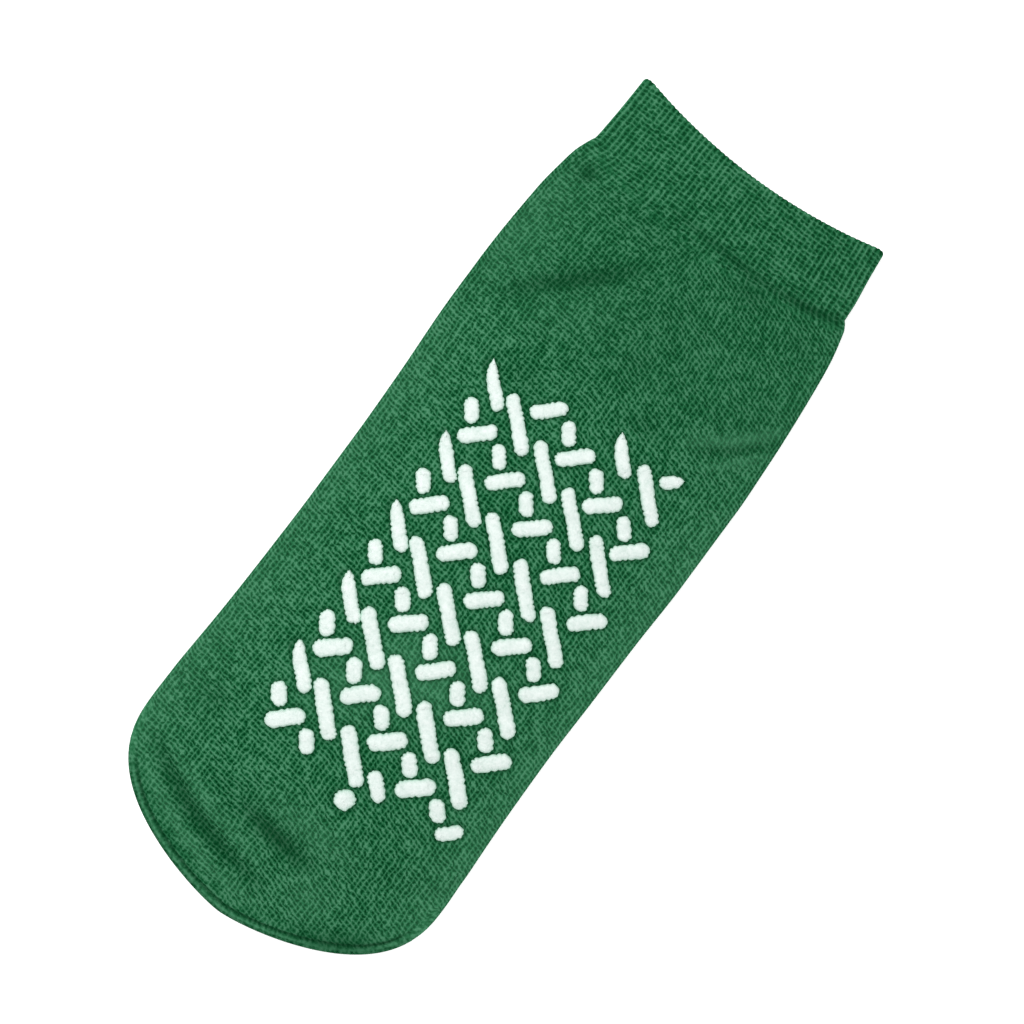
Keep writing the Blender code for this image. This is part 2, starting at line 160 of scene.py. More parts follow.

# Troughs (negative) and ridges of the slack knit on the upper face, in millimetres of the sock: the line
# that each follows, how far it reaches to either side, its height, and its painted shade (negative:
# painted light)
Crease = namedtuple("Crease", "name line reach height shade")
CREASES = [Crease(*row) for row in (
    ("leg diagonal", ((-39, 62), (-30, 71), (-21, 79), (-10, 90)), 2.7, -1.7, 0.80),
    ("leg hollow", ((-34, 68), (-21, 80), (-6, 92)), 7.5, -0.6, 0.22),
    ("leg ridge", ((-36, 54), (-24, 65), (-10, 78)), 6.0, 0.9, -0.10),
    ("cuff line", ((-14, 108.6), (8, 107.4), (24, 107.6), (36, 109.6)), 1.4, -0.7, 0.60),
    ("cuff line right", ((24, 107.6), (36, 109.6), (44, 112), (52, 114.6)), 1.5, -0.9, 1.0),
    ("below the cuff", ((13, 104), (24, 102)), 4.5, -0.9, 0.50),
    ("right of the cuff", ((34, 100), (44, 98)), 4.0, -0.5, 0.25),
    ("left notch", ((-43, 103), (-38, 103.5)), 2.8, -1.3, 0.75),
    ("leg slack", ((-14, 80), (24, 80)), 26.0, -0.4, 0.13),
    ("leg middle", ((-1, 69), (10, 66)), 7.0, -0.5, 0.22),
    ("above the print", ((9, 52), (24, 54)), 3.6, -0.5, 0.30),
    ("left of the print", ((-26, 45), (-14, 42)), 4.0, -0.4, 0.25),
    ("first pull", ((29, 57), (41, 66), (52, 78)), 1.8, 0.7, -0.75),
    ("second pull", ((37, 53), (45, 61), (52, 69)), 1.6, 0.5, -0.55),
    ("between the pulls", ((33, 56), (43, 64), (52, 73)), 1.5, -0.6, 0.50),
    ("toe trough", ((-44, -105), (-36, -109.5), (-24, -115), (-9, -119), (5, -121)), 2.5, -1.8, 0.80),
    ("toe lower ridge", ((-45, -110), (-34, -117), (-22, -122), (-8, -125.5), (8, -126)), 2.0, 0.7, -0.45),
    ("toe upper ridge", ((-40, -103), (-28, -108), (-16, -112), (2, -115)), 2.5, 0.8, -0.30),
    ("toe second trough", ((-11, -104.9), (1, -106.4), (13, -107.9)), 2.9, -1.5, 1.0),
    ("toe second hollow", ((-20, -103), (-4, -105), (14, -106)), 5.0, -0.5, 0.20),
    ("toe right", ((20, -130), (32, -124), (47, -114)), 4.6, -0.6, 0.80),
    ("ball spot", ((-42, -85), (-33, -84)), 5.0, -0.6, 0.32),
    ("ball ridge", ((-13, -63), (4, -44), (26, -37)), 10.0, 0.3, -0.60),
    ("ridge before the trough", ((-6, -98), (22, -99)), 4.5, 0.2, -0.35),
    ("toe ridge", ((14, -119), (24, -112)), 7.0, 0.2, -0.30),
    ("leg top", ((-34, 101), (2, 99)), 7.0, -0.2, 0.19),
    ("leg right", ((30, 62), (44, 72), (53, 88)), 10.0, -0.2, 0.12),
    ("leg left", ((-50, 58), (-48, 82), (-44, 103)), 11.0, 0.2, -0.26),
)]
CREASE_CUT = 0.12         # share cut off each end of the half wave that a crease fades by
SLACK_FROM = 1.2 * FOLD_RADIUS
SLACK_FULL = 2.6 * FOLD_RADIUS
SHADE_FULL = 2.0 * FOLD_RADIUS

# Three long waves of the slack top: direction in degrees, length and height in millimetres, phase
Wave = namedtuple("Wave", "direction length height phase")
WAVES = (Wave(62, 47, 0.16, 0.4), Wave(-35, 63, 0.20, 2.1), Wave(101, 81, 0.22, 4.0))

# Painted light towards the folds at the knit's sides, in the foot and in the leg, and how fast it fades
# inwards
EDGE_LIGHT_FOOT = 0.46
EDGE_LIGHT_LEG = 0.14
EDGE_LIGHT_POWER = 6
EDGE_LIGHT_FADE = (62 * MM, 20 * MM)

# Where the foot's knit passes into the leg's, which is slacker and less marked
LEG_STARTS = (40 * MM, 70 * MM)

# How the print presses the knit in around each stroke, and the painted shadow ring round it
PRESS_DEPTH = 0.35 * MM
PRESS_REACH = 1.3 * MM
PRESS_AT_SHADOW_RING = 0.84         # pressing where the painted shadow ring round a stroke is darkest
SHADOW_RING_BREADTH = 0.25

# The print's chart, as in the part, with how far a cut stroke narrows at its head and at its tail
Stroke = namedtuple("Stroke", "across along length width angle")
STROKES = {
    "long": Stroke(0.0, 0.0, 1.236, 0.272, -43.9),
    "cross": Stroke(-0.530, 0.607, 0.802, 0.292, 42.7),
    "short": Stroke(-0.901, 0.298, 0.503, 0.270, -51.6),
}
STEP_ACROSS = (0.984, 0.427)
STEP_ALONG = (0.066, 1.682)
PrintRow = namedtuple("PrintRow", "row long_first long_last cross_first cross_last short_first"
                                  " short_last girth drift")
PRINT_ROWS = [PrintRow(*row) for row in (
    (-1, 3, 3, 2, 4, 2, 4, 0.95, -0.11),
    (0, 0, 3, 0, 4, 0, 4, 0.96, 0.0),
    (1, 0, 3, 0, 4, 0, 4, 1.00, 0.0),
    (2, 0, 3, 0, 4, 0, 4, 1.03, 0.0),
    (3, 0, 3, 0, 3, 0, 4, 1.08, 0.0),
    (4, 0, 1, 0, 0, 0, 1, 1.07, 0.0),
)]
CutStroke = namedtuple("CutStroke", "kind place row kept slide girth drift head tail joins")
CUT_STROKES = [CutStroke(*row) for row in (
    ("cross", 4, -2, 0.61, -0.28, 0.80, 0.00, 0.0, 0.75, -1),
    ("cross", 1, -1, 0.94, -0.10, 0.91, 0.00, 0.0, 0.0, -1),
    ("long", 2, -1, 0.73, 0.12, 0.92, 0.00, 0.85, 0.0, -1),
    ("long", -1, 0, 0.83, 0.12, 0.90, 0.05, 0.95, 0.0, 0),
    ("long", -1, 1, 0.83, 0.14, 0.92, 0.07, 0.6, 0.0, 1),
    ("long", -1, 2, 0.84, 0.11, 0.97, 0.06, 0.6, 0.0, 2),
    ("long", -1, 3, 0.84, 0.11, 1.00, 0.07, 0.6, 0.0, 3),
    ("cross", 4, 3, 0.71, 0.00, 0.90, 0.12, 0.0, 0.0, 3),
    ("long", -1, 4, 0.84, 0.08, 1.02, 0.05, 0.6, 0.0, 4),
    ("long", 2, 4, 0.51, -0.27, 1.00, 0.00, 0.0, 0.0, 4),
    ("short", 2, 4, 0.86, 0.50, 1.56, 0.20, 0.0, 0.85, 4),
)]

# Finish of the strokes, with the notches that the knit's courses leave in their sides
OUTLINE_STEP = 0.30 * MM
STROKE_RINGS = 6
STROKE_SEED = 4000
NOTCH_DEPTH = 0.46 * MM
NOTCH_PITCH = COURSE
NOTCH_OFFSET = 0.9        # between the notches of the two sides
NOTCH_LEVEL = 0.6         # share of a notch that is cut in, the rest stands out
NOTCH_EVENNESS = 0.65
SPREAD = 0.22 * MM        # how far the print's edge spreads into the knit
CUT_POWER = 2.6
CUT_LEAN = 0.80           # how far a cut stroke's point lies to its right, of half its width
PUFF_POWER = 2.6
PUFF_ROOT = 0.42
FLOOR_FLATTENING = 1.15   # how much sooner a stroke on the floor reaches its full height
FOOT_POWER = 6
SINK = 0.12 * MM
WELD = 1e-6

# Wavers along a stroke: height, in millimetres or as a share, length in millimetres, and how far the
# two sides of the stroke differ
Waver = namedtuple("Waver", "height length sides")
EDGE_WAVERS = (Waver(0.11, 2.9, 1), Waver(0.08, 1.3, 2), Waver(0.05, 0.31, 1))
NOTCH_STRAY = (Waver(0.45, 1.7, 3),)
NOTCH_UNEVEN = (Waver(0.35, 1.1, 2),)
PUFF_WAVERS = (Waver(0.10, 2.1, 0), Waver(0.06, 0.9, 0))

# Camera and light
FRAME_WIDTH = 0.298
LENS = 85
SENSOR = 36
CAMERA_ROLL = 36.4
CAMERA_AIM = (0.0000, 0.0103, 0.008)
FLOOR_HALF = 8.0
FLOOR_DROP = 0.05 * MM
FLOOR_GLOW = 0.40
WORLD_STRENGTH = 0.70
Lamp = namedtuple("Lamp", "name place size power")
LAMPS = (
    Lamp("key", (-0.80, 0.25, 1.00), 0.8, 10.0),
    Lamp("fill", (0.80, -0.25, 1.10), 1.2, 5.6),
)


# Smooth columns of the sections' table

def smooth_column(keys, values, at):
    """A monotone cubic through the table, so that nothing swings past its rows."""
    gaps = np.diff(keys)
    slopes = np.diff(values) / gaps
    steep = np.zeros(len(keys))
    steep[0], steep[-1] = slopes[0], slopes[-1]
    same_way = np.flatnonzero(slopes[:-1] * slopes[1:] > 0)
    before, after = gaps[same_way], gaps[same_way + 1]
    first = (2 * after + before) / slopes[same_way]
    second = (after + 2 * before) / slopes[same_way + 1]
    steep[same_way + 1] = 3 * (before + after) / (first + second)
    index = np.clip(np.searchsorted(keys, at, side="right") - 1, 0, len(keys) - 2)
    gap = gaps[index]
    t = (at - keys[index]) / gap
    return ((2 * t**3 - 3 * t**2 + 1) * values[index] + (t**3 - 2 * t**2 + t) * gap * steep[index]
            + (3 * t**2 - 2 * t**3) * values[index + 1] + (t**3 - t**2) * gap * steep[index + 1])


MIDDLES = np.array([section.along + section.bow for section in SECTIONS])


def column_at(name, middle):
    return smooth_column(MIDDLES, np.array([getattr(section, name) for section in SECTIONS]), middle)


# The tube's smooth outer surface

def plan_curve(toe, across):
    reach = np.minimum(1.0, np.abs(across))
    cuff = 1 - reach**CUFF_POWER
    root = np.where(across < 0, TOE_ROOT_LEFT, TOE_ROOT_RIGHT)
    rim = (1 - reach**TOE_POWER) ** (1 / root)
    return cuff + (rim - cuff) * toe


def sheet_points(middles, shares, top):
    """Points of the top or bottom sheet, a row for each middle and a column for each share across."""
    middle = middles[:, None]
    across = shares[None, :]
    side = np.where(across < 0, column_at("left", middle), column_at("right", middle))
    x = across * (side * HALF_WIDTH - FOLD_RADIUS)
    bow = column_at("bow", middle) * plan_curve(column_at("toe", middle), across)
    y = LENGTH / 2 - RUN * (column_at("along", middle) + bow)
    z = column_at("lift", middle) * TREAD_LIFT + 0 * across
    if top:
        dome = (1 - np.abs(across) ** DOME_BREADTH) ** DOME_POWER
        z = z + 2 * FOLD_RADIUS + column_at("rise", middle) * DOME_RISE * dome
    return np.stack([x, y, z], axis=2)


def side_edge(middles, sign):
    side = column_at("left" if sign < 0 else "right", middles)
    x = sign * (side * HALF_WIDTH - FOLD_RADIUS)
    y = LENGTH / 2 - RUN * column_at("along", middles)
    return np.stack([x, y], axis=1)


def rounded(edge, run, base, angles):
    """Points round a folded edge: a row for each of its places and a column for each angle."""
    normal = np.stack([run[:, 1], -run[:, 0]], axis=1)
    normal /= np.linalg.norm(normal, axis=1)[:, None]
    reach = FOLD_RADIUS * np.cos(angles)[None, :]
    x = edge[:, 0:1] + normal[:, 0:1] * reach
    y = edge[:, 1:2] + normal[:, 1:2] * reach
    z = base[:, None] + FOLD_RADIUS * (1 + np.sin(angles)[None, :])
    return np.stack([x, y, z], axis=2)


def fold_points(middles, sign, angles):
    """The rounded fold at one side of the tube."""
    low = np.clip(middles - FOLD_NUDGE, MIDDLES[0], MIDDLES[-1])
    high = np.clip(middles + FOLD_NUDGE, MIDDLES[0], MIDDLES[-1])
    run = (side_edge(low, sign) - side_edge(high, sign)) * sign
    return rounded(side_edge(middles, sign), run, column_at("lift", middles) * TREAD_LIFT, angles)


def share_list():
    """Shares across a sheet, with extra columns near the folds, where the toe's rim turns fast."""
    inner = list(np.linspace(-1, 1, SHEET_COLUMNS + 1))
    extra = [1 - 2 / SHEET_COLUMNS * split for split in EDGE_SPLITS]
    return np.array(sorted(inner + extra + [-value for value in extra]))


def halved(values):
    """The same values with the middle of each gap put in."""
    between = (values[1:] + values[:-1]) / 2
    out = np.empty(len(values) + len(between))
    out[0::2] = values
    out[1::2] = between
    return out


Ring = namedtuple("Ring", "shares angles")


def ring_layout(fine):
    shares, angles = share_list(), np.radians(FOLD_ANGLES)
    return Ring(halved(shares), halved(angles)) if fine else Ring(shares, angles)


def ring_points(middles, ring):
    """Closed loops round the tube: top sheet, right fold, bottom sheet, left fold."""
    inside = ring.angles[1:-1]
    return np.concatenate([
        sheet_points(middles, ring.shares, True),
        fold_points(middles, 1, inside),
        sheet_points(middles, ring.shares, False)[:, ::-1],
        fold_points(middles, -1, inside)[:, ::-1],
    ], axis=1)


def ring_wales(ring):
    """Stitch number of each point round a loop, starting at the left fold's upper edge."""
    flat = (ring.shares + 1) / 2 * FLAT_WALES
    turn = (math.pi / 2 - ring.angles[1:-1]) / math.pi * FOLD_WALES
    right = FLAT_WALES + turn
    bottom = FLAT_WALES + FOLD_WALES + flat
    left = 2 * FLAT_WALES + FOLD_WALES + turn
    return np.concatenate([flat, right, bottom, left])


def rim_points(ring):
    """The rounded rim of the toe between the last row's top and bottom, without its two ends."""
    behind, here, ahead = [sheet_points(MIDDLES[-1:], ring.shares[1:-1] + nudge, False)[0]
                           for nudge in (-RIM_NUDGE, 0, RIM_NUDGE)]
    return rounded(here, ahead - behind, here[:, 2], ring.angles[1:-1])


# Joining loops into faces

def join_loops(first, second):
    """Faces between two closed loops, of equal counts or with twice as many points in one."""
    if len(first) == len(second):
        return list(zip(first, second, second[1:] + second[:1], first[1:] + first[:1]))
    fine_first = len(first) > len(second)
    fine, coarse = (first, second) if fine_first else (second, first)
    faces = []
    for k in range(len(coarse)):
        a, b, c = fine[2 * k], fine[2 * k + 1], fine[(2 * k + 2) % len(fine)]
        low, high = coarse[k], coarse[(k + 1) % len(coarse)]
        new = [(a, low, b), (b, low, high), (b, high, c)]
        faces += new if fine_first else [face[::-1] for face in new]
    return faces


class Shell:
    """Points and faces of the outer or inner side of the tube, with each point's stitch place."""

    def __init__(self):
        self.points = np.zeros((0, 3))
        self.places = np.zeros((0, 2))
        self.loops = []
        self.faces = []

    def add_points(self, points, places):
        """Takes in a grid of points and gives their numbers in the same grid."""
        start = len(self.points)
        self.points = np.concatenate([self.points, points.reshape(-1, 3)])
        self.places = np.concatenate([self.places, places.reshape(-1, 2)])
        return np.arange(start, len(self.points)).reshape(points.shape[:2]).tolist()

    def add_loops(self, middles, ring):
        points = ring_points(middles, ring)
        wales = np.broadcast_to(ring_wales(ring), points.shape[:2])
        courses = (LENGTH / 2 - points[:, :, 1]) / COURSE
        self.loops += self.add_points(points, np.stack([wales, courses], axis=2))

    def close_toe(self, ring):
        points = rim_points(ring)
        steps = points.shape[1]
        wales = (ring.shares[1:-1] + 1) / 2 * FLAT_WALES
        turn = (math.pi / 2 - np.abs(ring.angles[1:-1])) * FOLD_RADIUS / COURSE
        end_rows = sheet_points(MIDDLES[-1:], ring.shares[1:-1], True)[0]
        courses = (LENGTH / 2 - end_rows[:, 1])[:, None] / COURSE + turn[None, :]
        places = np.stack([np.broadcast_to(wales[:, None], courses.shape), courses], axis=2)
        inner = self.add_points(points, places)
        last = self.loops[-1]
        sheet = len(ring.shares)
        top = last[:sheet]
        right = last[sheet:sheet + steps]
        bottom = last[sheet + steps:2 * sheet + steps][::-1]
        left = last[2 * sheet + steps:][::-1]
        arcs = [[high, *arc, low] for high, arc, low in zip(top, [left, *inner, right], bottom)]
        for here, there in zip(arcs, arcs[1:]):
            self.faces += zip(here, here[1:], there[1:], there)


def build_shell(zones):
    """One side of the tube, zone by zone from the collar to the closed toe."""
    shell = Shell()
    start = MIDDLES[0]
    shell.add_loops(MIDDLES[:1], ring_layout(zones[0].fine))
    for zone in zones:
        steps = math.ceil((zone.end - start) * RUN / zone.spacing)
        shell.add_loops(np.linspace(start, zone.end, steps + 1)[1:], ring_layout(zone.fine))
        start = zone.end
    for first, second in zip(shell.loops, shell.loops[1:]):
        shell.faces += join_loops(first, second)
    shell.close_toe(ring_layout(False))
    return shell


def mesh_normals(points, faces):
    mesh = bpy.data.meshes.new("scratch")
    mesh.from_pydata(points, [], faces)
    mesh.update()
    normals = np.empty(len(points) * 3, dtype=np.float32)
    mesh.vertex_normals.foreach_get("vector", normals)
    bpy.data.meshes.remove(mesh)
    return normals.reshape(-1, 3).astype(float)


# The slack knit's folds, waves and pressed-in places, with the shade and light painted on them

def line_distance(x, y, line):
    """Distance in plan from each point to a broken line, and how far along the line it lies, 0 to 1."""
    lengths = [math.dist(a, b) for a, b in zip(line, line[1:])]
    total = sum(lengths)
    best = np.full(x.shape, 1e9)
    share = np.zeros(x.shape)
    run = 0.0
    for (ax, ay), (bx, by), length in zip(line, line[1:], lengths):
        t = ((x - ax) * (bx - ax) + (y - ay) * (by - ay)) / length**2
        held = np.clip(t, 0, 1)
        distance = np.hypot(x - ax - held * (bx - ax), y - ay - held * (by - ay))
        closer = distance < best
        best = np.where(closer, distance, best)
        share = np.where(closer, (run + held * length) / total, share)
        run += length
    return best, share


def smoothstep(low, high, value):
    t = np.clip((value - low) / (high - low), 0, 1)
    return t * t * (3 - 2 * t)


def bell(value, width):
    return np.exp(-((value / width) ** 2))


def crease_strength(crease, x, y):
    """1 along the middle of a crease, fading to both of its sides and towards its ends."""
    distance, share = line_distance(x, y, crease.line)
    wave = np.sin(math.pi * (CREASE_CUT + (1 - 2 * CREASE_CUT) * share))
    return bell(distance, crease.reach) * wave


def slack_height(points):
    """Height added to the upper face by its creases and waves."""
    x, y = points[:, 0] / MM, points[:, 1] / MM
    height = np.zeros(len(points))
    for crease in CREASES:
        height += crease.height * crease_strength(crease, x, y)
    for wave in WAVES:
        angle = math.radians(wave.direction)
        phase = (x * math.cos(angle) + y * math.sin(angle)) / wave.length * 2 * math.pi + wave.phase
        height += wave.height * np.sin(phase)
    return height * MM * smoothstep(SLACK_FROM, SLACK_FULL, points[:, 2])


def crease_shades(points):
    """Painted shade at each point of the upper face's creases, and painted light on their ridges."""
    x, y = points[:, 0] / MM, points[:, 1] / MM
    painted_shade = np.zeros(len(points))
    painted_light = np.zeros(len(points))
    for crease in CREASES:
        shade = crease_strength(crease, x, y) * crease.shade
        painted_shade = np.maximum(painted_shade, shade)
        painted_light = np.maximum(painted_light, -shade)
    upper = smoothstep(SLACK_FROM, SHADE_FULL, points[:, 2])
    return painted_shade * upper, painted_light * upper


def painted_edge_light(points):
    """Painted light towards the folds at the sides of the knit, stronger in the foot than in the leg."""
    foot = smoothstep(*EDGE_LIGHT_FADE, points[:, 1])
    share = EDGE_LIGHT_LEG + (EDGE_LIGHT_FOOT - EDGE_LIGHT_LEG) * foot
    return share * np.clip(np.abs(points[:, 0]) / HALF_WIDTH, 0, 1) ** EDGE_LIGHT_POWER


def press_share(points, marks, face):
    """How strongly the nearest stroke presses on each point of a face: 1 under it, 0 well beside it."""
    share = np.zeros(len(points))
    for mark in marks:
        start, end = mark_axis(mark)
        reach = mark.width / 2 + 3 * PRESS_REACH
        low = np.minimum(start, end) - reach
        high = np.maximum(start, end) + reach
        inside = (points[:, :2] > low) & (points[:, :2] < high)
        near = np.flatnonzero(inside.all(axis=1) & face)
        distance, _ = line_distance(points[near, 0], points[near, 1], (tuple(start), tuple(end)))
        beside = np.maximum(0, distance - mark.width / 2)
        share[near] = np.maximum(share[near], bell(beside, PRESS_REACH))
    return share


# The print's chart

PrintMark = namedtuple("PrintMark", "centre length width angle head tail seed")


def direction(angle):
    return np.array([math.cos(angle), math.sin(angle)])


def place_mark(kind, place, row, kept=1.0, slide=0.0, girth=1.0, drift=0.0, head=0.0, tail=0.0):
    stroke = STROKES[kind]
    across = stroke.across + place * STEP_ACROSS[0] + row * STEP_ALONG[0]
    along = stroke.along + place * STEP_ACROSS[1] + row * STEP_ALONG[1]
    angle = math.radians(stroke.angle)
    start = np.array([PRINT_MIDDLE * HALF_WIDTH, LENGTH / 2 - PRINT_START * LENGTH])
    moved = direction(angle) * slide * stroke.length
    moved = moved + direction(math.radians(STROKES["cross"].angle)) * drift
    centre = start + (np.array([across, -along]) + moved) * PRINT_UNIT
    seed = 7 * place + 31 * row + 101 * list(STROKES).index(kind)
    length = stroke.length * kept * PRINT_UNIT
    return PrintMark(centre, length, stroke.width * girth * PRINT_UNIT, angle, head, tail, seed)


def print_marks():
    """Every stroke of the print as seen on the upper face, in a list for each row."""
    rows = {row.row: [] for row in PRINT_ROWS}
    for row in PRINT_ROWS:
        for kind in STROKES:
            drift = 0.0 if kind == "long" else row.drift
            for place in range(getattr(row, f"{kind}_first"), getattr(row, f"{kind}_last") + 1):
                rows[row.row].append(place_mark(kind, place, row.row, girth=row.girth, drift=drift))
    for cut in CUT_STROKES:
        rows[cut.joins].append(place_mark(*cut[:-1]))
    return list(rows.values())


def mark_axis(mark):
    half = direction(mark.angle) * max(0.0, mark.length - mark.width) / 2
    return mark.centre - half, mark.centre + half


def mirrored(mark):
    """The same stroke on the underside, where the print is seen from the other side."""
    centre = np.array([-mark.centre[0], mark.centre[1]])
    return mark._replace(centre=centre, angle=math.pi - mark.angle, seed=mark.seed + 1000)


# Node trees

class Graph:
    """Short calls for the nodes of one material."""

    def __init__(self, name):
        self.material = bpy.data.materials.new(name)
        self.material.use_nodes = True
        self.nodes = self.material.node_tree.nodes
        self.links = self.material.node_tree.links
        self.shader = self.nodes["Principled BSDF"]
        self.place = self.nodes.new("ShaderNodeTexCoord").outputs["Object"]

    def put(self, socket, value):
        if isinstance(value, bpy.types.NodeSocket):
            self.links.new(value, socket)
        else:
            socket.default_value = value

    def node(self, kind, output, inputs=(), **settings):
        """One output of a new node, with its settings made and its inputs set or linked."""
        node = self.nodes.new("ShaderNode" + kind)
        for name, value in settings.items():
            setattr(node, name, value)
        for name, value in dict(inputs).items():
            self.put(node.inputs[name], value)
        return node.outputs[output]

    def maths(self, operation, *values):
        return self.node("Math", 0, enumerate(values), operation=operation)

    def blend(self, share, first, second):
        return self.node("Mix", "Result", {"Factor": share, "A": first, "B": second})

    def vary(self, base, share, amount):
        """The base, moved by the amount times how far the share lies above a half."""
        return self.maths("MULTIPLY_ADD", self.maths("SUBTRACT", share, 0.5), amount, base)

    def blend_colour(self, share, first, second):
        """A mix of two colours, by the places of a mix node's colour sockets."""
        return self.node("Mix", 2, {0: share, 6: first, 7: second}, data_type="RGBA")

    def noise(self, name):
        kind = NOISES[name]
        inputs = {"Scale": kind.scale, "Detail": kind.detail, "Roughness": kind.roughness}
        return self.node("TexNoise", "Fac", {"Vector": self.place, **inputs})

    def shift(self, base, name):
        """The base, moved by a noise as far as the noises' table says."""
        return self.vary(base, self.noise(name), NOISES[name].shift)

    def random(self, first, second):
        vector = self.node("CombineXYZ", 0, {0: first, 1: second})
        return self.node("TexWhiteNoise", "Value", {"Vector": vector}, noise_dimensions="2D")

    def ramp(self, share, stops):
        node = self.nodes.new("ShaderNodeValToRGB")
        elements = node.color_ramp.elements
        while len(elements) < len(stops):
            elements.new(0.5)
        for element, (place, colour) in zip(elements, stops):
            element.position = place
            element.color = (*colour, 1.0)
        self.put(node.inputs[0], share)
        return node.outputs["Color"]

    def attribute(self, name):
        return self.node("Attribute", "Fac", attribute_name=name)

    def finish(self, colour, look, height=None):
        """Colour, roughness and gloss of the shader, and its relief if there is one."""
        self.put(self.shader.inputs["Base Color"], colour)
        self.put(self.shader.inputs["Roughness"], look.roughness)
        self.put(self.shader.inputs["Specular IOR Level"], look.gloss)
        if height is not None:
            inputs = {"Distance": look.relief, "Height": height}
            self.put(self.shader.inputs["Normal"], self.node("Bump", "Normal", inputs))
        return self.material


# Noises of the materials, per metre, and how far each shifts the tone, height or place that it varies
Noise = namedtuple("Noise", "scale detail roughness shift")
NOISES = {
    "columns stray": Noise(330, 2.0, 0.50, 1.15),
    "rows stray": Noise(520, 2.0, 0.50, 1.25),
    "ribs stray": Noise(330, 2.0, 0.50, 0.35),
    "stronger way": Noise(150, 1.0, 0.50, 4.0),
    "mottle": Noise(640, 2.0, 0.50, 2.2),
    "fluff": Noise(2300, 3.0, 0.75, 0.90),
    "uneven yarn": Noise(90, 1.0, 0.50, 0.14),
    "lining fluff": Noise(2200, 3.0, 0.65, 0.50),
    "print grain": Noise(1500, 3.0, 0.60, 0.75),
    "print dimple": Noise(620, 2.0, 0.55, 0.65),
    "print cloud": Noise(210, 2.0, 0.50, 0.35),
    "floor": Noise(3.0, 2.0, 0.50, 0.0),
}

Look = namedtuple("Look", "roughness gloss relief")
KNIT_LOOK = Look(0.95, 0.0, 0.34 * MM)
LINING_LOOK = Look(0.95, 0.1, 0.25 * MM)
PRINT_LOOK = Look(0.62, 0.3, 0.32 * MM)
FLOOR_LOOK = Look(0.90, 0.1, 0.0)

# Colours by tone, from the darkest to the lightest
GAP_COLOUR = (0.0004, 0.033, 0.0078)
SHADE_COLOUR = (0.0045, 0.073, 0.0230)
YARN_COLOUR = (0.0210, 0.135, 0.0560)
LIGHT_COLOUR = (0.0660, 0.226, 0.1200)
KNIT_RAMP = ((0.18, GAP_COLOUR), (0.42, SHADE_COLOUR), (0.70, YARN_COLOUR), (1.00, LIGHT_COLOUR))
LINING_RAMP = ((0.1, GAP_COLOUR), (0.5, SHADE_COLOUR), (1.0, YARN_COLOUR))
PRINT_RAMP = ((0.22, (0.46, 0.58, 0.52)), (0.55, (0.62, 0.705, 0.665)), (0.88, (0.73, 0.79, 0.76)))
FLOOR_RAMP = ((0.3, (0.93, 0.93, 0.94)), (0.7, (0.95, 0.95, 0.955)))
FOOT_COLOUR = (0.29, 0.61, 0.43, 1.0)
WHITE = (1.0, 1.0, 1.0, 1.0)

# Colours that the knit turns to where it is marked, and how far, in the order in which they lie: a darker
# leg, painted light, a painted shadow ring round the print, and painted shade in the creases and along the
# seam
Tint = namedtuple("Tint", "mark share colour")
PAINTED_LIGHT_COLOUR = (0.0600, 0.235, 0.1180, 1.0)
PAINTED_SHADE_COLOUR = (0.0016, 0.038, 0.0110, 1.0)
KNIT_TINTS = (
    Tint("leg", 0.13, (0.0160, 0.110, 0.0450, 1.0)),
    # Painted light on the creases' ridges, towards the side folds and along the seam's chain
    Tint("painted_light", 0.55, PAINTED_LIGHT_COLOUR),
    Tint("press_and_shadow_ring", 0.56, PAINTED_SHADE_COLOUR),
    Tint("painted_shade", 0.78, PAINTED_SHADE_COLOUR),
)

# How strongly each stitch's own chance shifts the tone, and what is added everywhere and in two zones
KNIT_CHANCE = 0.34
LINING_CHANCE = 0.25
KNIT_TONE = 0.118
LEG_TONE = -0.045
CUFF_TONE = -0.055
PRINT_TONE = 0.62
FOOT_SHARE = 0.75
FLUFF_RELIEF = 0.45
GRAIN_RELIEF = 0.4

# The knit's lines: their sharpness, the columns' strength beside the rows, the share of the height that
# the crossings take, and the limits of the way that is the stronger one in a patch
ROW_SHARPNESS = 1.15
COLUMN_SHARPNESS = 1.3
RIB_SHARPNESS = 0.95
COLUMN_STRENGTH = 0.92
CROSSING_SHARE = 0.55
PATCH_LIMITS = (0.1, 0.9)

# The pleats along the toe's seam, and the level of the mottle that they lie in
PLEAT_SHARPNESS = 0.8
PLEAT_STRENGTH = 0.34
MOTTLE_LEVEL = 0.45

# How far the rows climb from stitch to stitch, and how much more from the middle of the upper face on;
# round the whole tube both come to whole stitches, so the rows meet
CLIMB = 1 / 8
CLIMB_MORE = 1 / 4
CLIMB_FROM = 32


def wave_line(graph, phase, sharpness):
    """1 along the middle of each stitch falling to 0 between two, along one direction of the knit."""
    share = graph.maths("ABSOLUTE", graph.maths("MULTIPLY_ADD", graph.maths("FRACT", phase), 2.0, -1.0))
    return graph.maths("POWER", graph.maths("SUBTRACT", 1.0, share), sharpness)


def mesh_height(graph, rows, columns, favour):
    """Bright lines in both directions with dark dots between them; favour picks the stronger way."""
    crossing = graph.maths("MULTIPLY", graph.maths("MAXIMUM", rows, columns), CROSSING_SHARE)
    leaning = graph.maths("MULTIPLY", graph.blend(favour, columns, rows), 1 - CROSSING_SHARE)
    return graph.maths("ADD", crossing, leaning)


